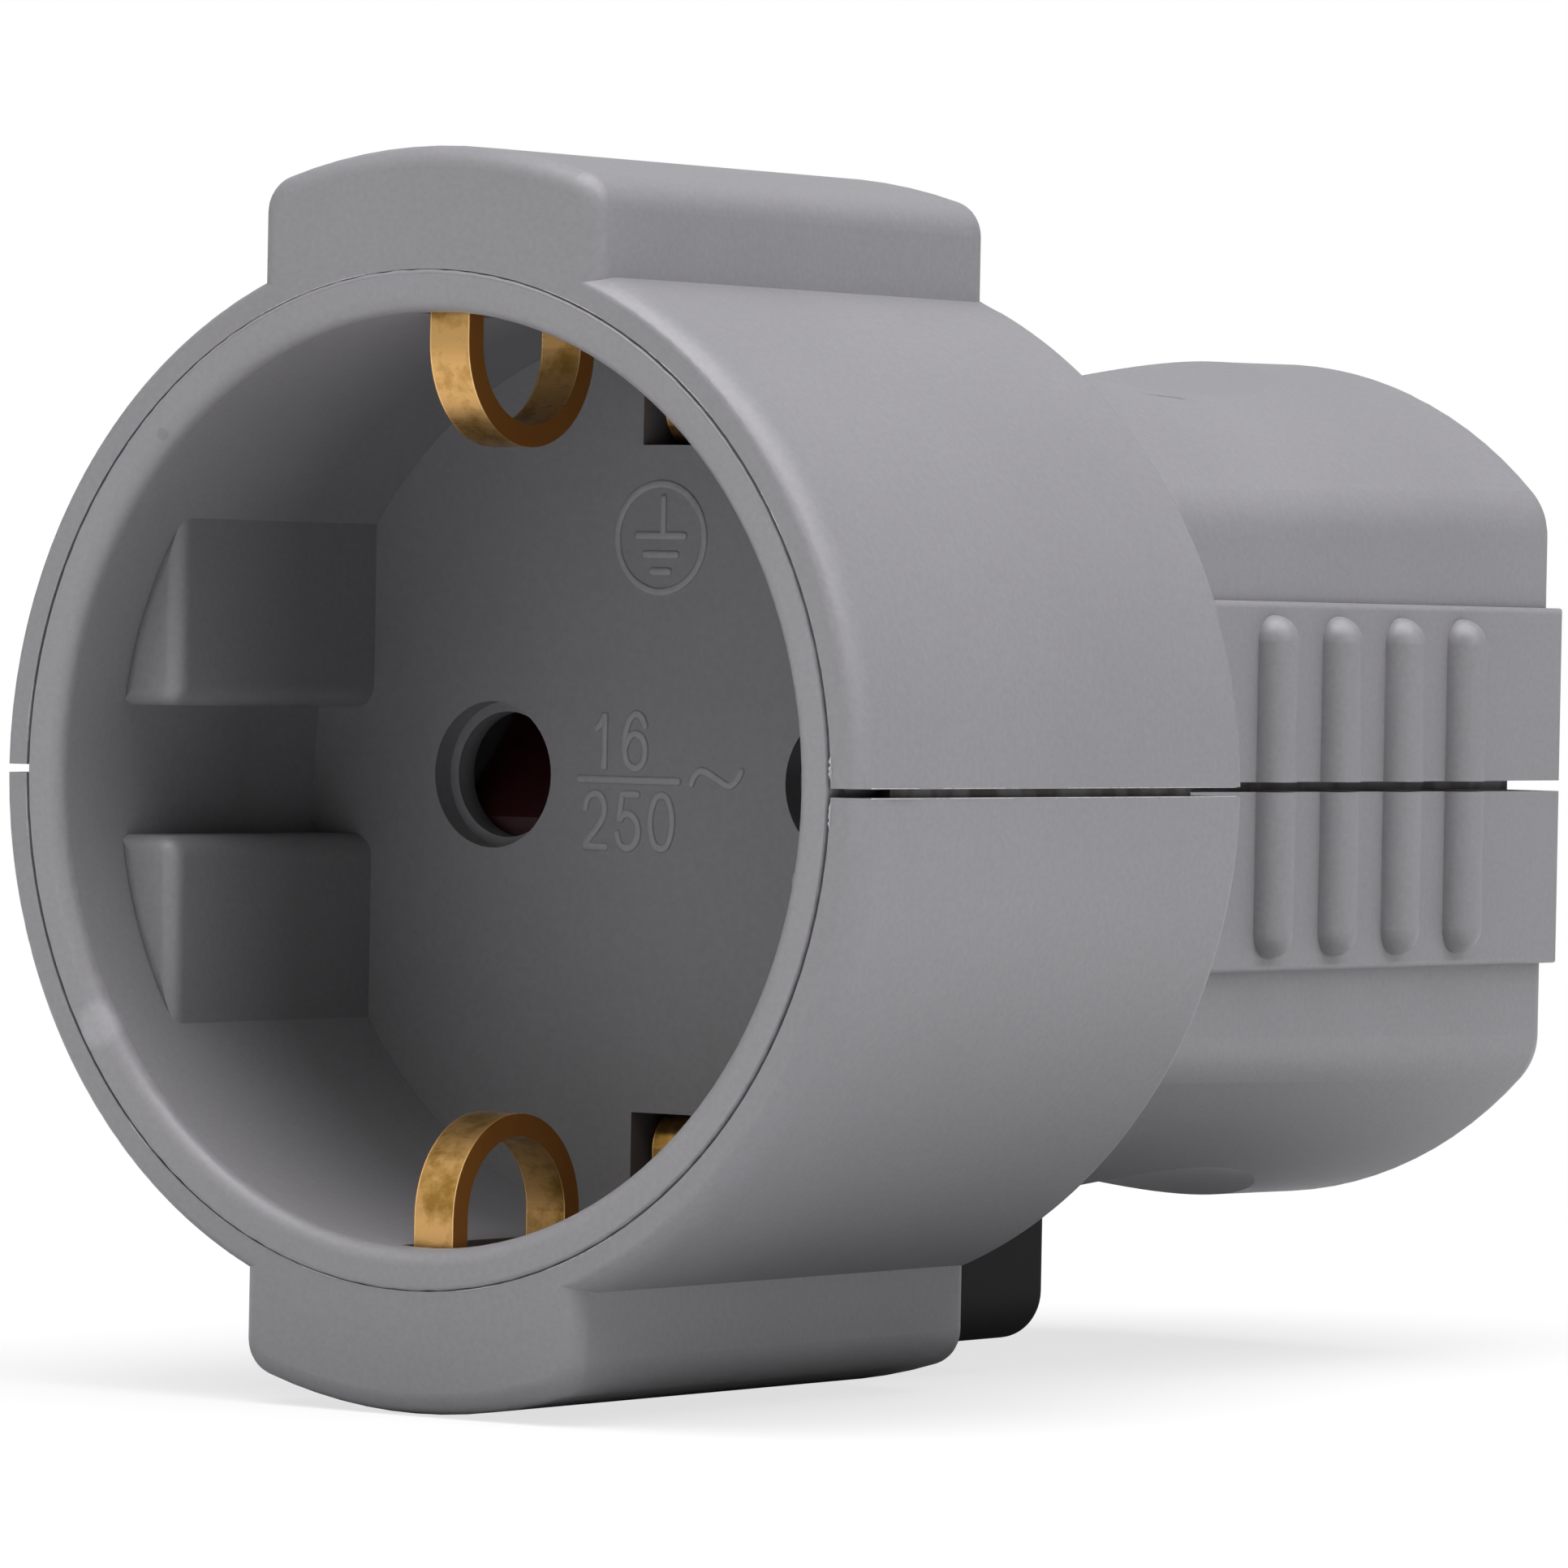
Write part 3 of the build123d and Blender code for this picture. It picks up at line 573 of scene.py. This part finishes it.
def gripDash():
    bm = bmesh.new()
    start, end = Vector(dashLook["from"]), Vector(dashLook["to"])
    up = Vector((start.x, 0, start.z)).normalized()
    across = (end - start).cross(up).normalized() * dashLook["width"] / 2
    narrow = dashLook["startWidth"]
    rings = []
    for share, high in dashLook["profile"]:
        point = start.lerp(end, share)
        top = point + up * dashLook["height"] * high
        foot = point - up * dashLook["sink"]
        wide = across * (narrow + (1 - narrow) * share)
        low, crown = wide * dashLook["footWidth"], wide * dashLook["topWidth"]
        rings.append([p * mm + faceMiddle for p in (foot + low, top + crown, top - crown, foot - low)])
    loft(bm, rings)
    finishPiece(bm, "grip_dash", "housing_plastic", smooth=False)


seamLip()
mouldFlash()
gripDash()
print("seam, flash and dash done")


# Camera at the photograph's viewpoint, fitted to the rim, the lugs and the grip
viewpoint = {
    "aim": (8.33, 15.0, 0.36),  # mm from the socket axis and face
    "distance": 397.3,          # mm
    "yaw": 36.01,               # degrees
    "pitch": 0.874,
    "roll": -1.061,
    "focal": 11568.0,           # pixels of the photograph
    "centre": (972.8, 956.0),
    "sensor": 36,               # mm
    "nearest": 0.01,            # m
}


def setCamera():
    yaw, pitch, roll = (math.radians(viewpoint[k]) for k in ("yaw", "pitch", "roll"))
    ahead = Vector((-math.sin(yaw) * math.cos(pitch), math.cos(yaw) * math.cos(pitch), -math.sin(pitch)))
    right = Vector((math.cos(yaw), math.sin(yaw), 0))
    down = ahead.cross(right)
    right, down = (right * math.cos(roll) + down * math.sin(roll),
                   down * math.cos(roll) - right * math.sin(roll))
    aim = Vector(viewpoint["aim"]) * mm + faceMiddle
    lens = bpy.data.cameras.new("camera")
    lens.sensor_width = viewpoint["sensor"]
    lens.lens = viewpoint["focal"] / photoSize * viewpoint["sensor"]
    lens.shift_x = (photoSize / 2 - viewpoint["centre"][0]) / photoSize
    lens.shift_y = (viewpoint["centre"][1] - photoSize / 2) / photoSize
    lens.clip_start = viewpoint["nearest"]
    camera = bpy.data.objects.new("camera", lens)
    bpy.context.scene.collection.objects.link(camera)
    turn = Matrix((right, -down, -ahead)).transposed().to_4x4()
    camera.matrix_world = Matrix.Translation(aim - ahead * viewpoint["distance"] * mm) @ turn
    bpy.context.scene.camera = camera


setCamera()


# Floor, light and surroundings
studio = {
    "floorReach": 6.0,          # m to each side
    "floorDrop": 0.00005,       # m, so that the floor and the part's lowest faces don't meet
    "floorShare": 0.72,         # how much of the floor, as the camera sees it, is even white
    "floorSeen": 0.9,           # the colour of the rest, which takes the shadow
    "floorShadeNear": 0.3,           # what the floor throws back: close under the part it is darker, a painted shade on the part's underside, and further out
    "floorFar": 0.88,
    "farFrom": (0.02, 0.06),    # m from the middle of the part
    "fade": (0.09, 0.30),       # m from the middle, between which the floor fades to white
    "world": 0.01,
    "gleam": 0.36,              # how bright the surroundings are in a reflection
    # name, place and size in m, watts, colour
    "lamps": (
        ("frontSoftbox", (0.0, -0.35, 0.75), 0.7, 4.75, (1.0, 0.99, 1.0)),
        ("topSoftbox", (0.22, 0.05, 0.78), 0.8, 6.5, (0.96, 0.95, 1.0)),
        ("leftSoftbox", (-0.50, -0.95, 0.52), 1.0, 2.0, (1.0, 1.0, 1.0)),
        ("rightSoftbox", (0.75, 0.10, 0.50), 0.6, 2.15, (1.0, 1.0, 1.0)),
    ),
}


def paleFloor():
    # matt paper under the part that fades to plain white round it
    material, tree, output = newMaterial("paleFloor")
    path = addNode(tree, "ShaderNodeLightPath")
    place = addNode(tree, "ShaderNodeTexCoord").outputs["Object"]
    away = addNode(tree, "ShaderNodeVectorMath", {"operation": "LENGTH"}, i0=place)
    # for light bouncing up onto the part, the floor is painted darker close under it, a painted shade
    fade, grey = (addNode(tree, "ShaderNodeMapRange", Value=away.outputs["Value"],
                          From_Min=studio[places][0], From_Max=studio[places][1],
                          To_Min=studio[least], To_Max=most)
                  for places, least, most in (("fade", "floorShare", 1.0),
                                              ("farFrom", "floorShadeNear", studio["floorFar"])))
    glow = addNode(tree, "ShaderNodeEmission", Color=(1, 1, 1, 1), Strength=1.0)
    bright = addNode(tree, "ShaderNodeBsdfDiffuse", Color=[studio["floorSeen"]] * 3 + [1])
    matt = addNode(tree, "ShaderNodeBsdfDiffuse", Color=grey)
    seen = addNode(tree, "ShaderNodeMixShader", i0=fade, i1=bright, i2=glow)
    mix = addNode(tree, "ShaderNodeMixShader", i0=path.outputs["Is Camera Ray"], i1=matt, i2=seen)
    tree.links.new(mix.outputs[0], output.inputs["Surface"])
    bm = bmesh.new()
    bmesh.ops.create_grid(bm, x_segments=1, y_segments=1, size=studio["floorReach"])
    mesh = bpy.data.meshes.new("floor")
    bm.to_mesh(mesh)
    bm.free()
    floor = bpy.data.objects.new("floor", mesh)
    floor.location.z = -studio["floorDrop"]
    mesh.materials.append(material)
    bpy.context.scene.collection.objects.link(floor)


def surroundings():
    # dim even light all round, brighter in reflections and seen as plain white
    world = bpy.data.worlds.new("surroundings")
    world.use_nodes = True
    tree = world.node_tree
    tree.nodes.clear()
    path = addNode(tree, "ShaderNodeLightPath")
    dim, white, gleam = (addNode(tree, "ShaderNodeBackground", Color=(1, 1, 1, 1), Strength=strength)
                         for strength in (studio["world"], 1.0, studio["gleam"]))
    soft = addNode(tree, "ShaderNodeMixShader", i0=path.outputs["Is Glossy Ray"], i1=dim, i2=gleam)
    mix = addNode(tree, "ShaderNodeMixShader", i0=path.outputs["Is Camera Ray"], i1=soft, i2=white)
    output = addNode(tree, "ShaderNodeOutputWorld")
    tree.links.new(mix.outputs[0], output.inputs["Surface"])
    bpy.context.scene.world = world


def softLamp(name, place, size, watts, colour):
    lamp = bpy.data.lights.new(name, "AREA")
    lamp.size = size
    lamp.energy = watts
    lamp.color = colour
    obj = bpy.data.objects.new(name, lamp)
    bpy.context.scene.collection.objects.link(obj)
    obj.location = place
    obj.rotation_mode = "QUATERNION"
    obj.rotation_quaternion = (Vector((0, 0, axisHeight)) - Vector(place)).to_track_quat("-Z", "Y")


paleFloor()
surroundings()
for lamp in studio["lamps"]:
    softLamp(*lamp)
bpy.context.scene.view_settings.view_transform = "Standard"
print("camera, floor and light done")
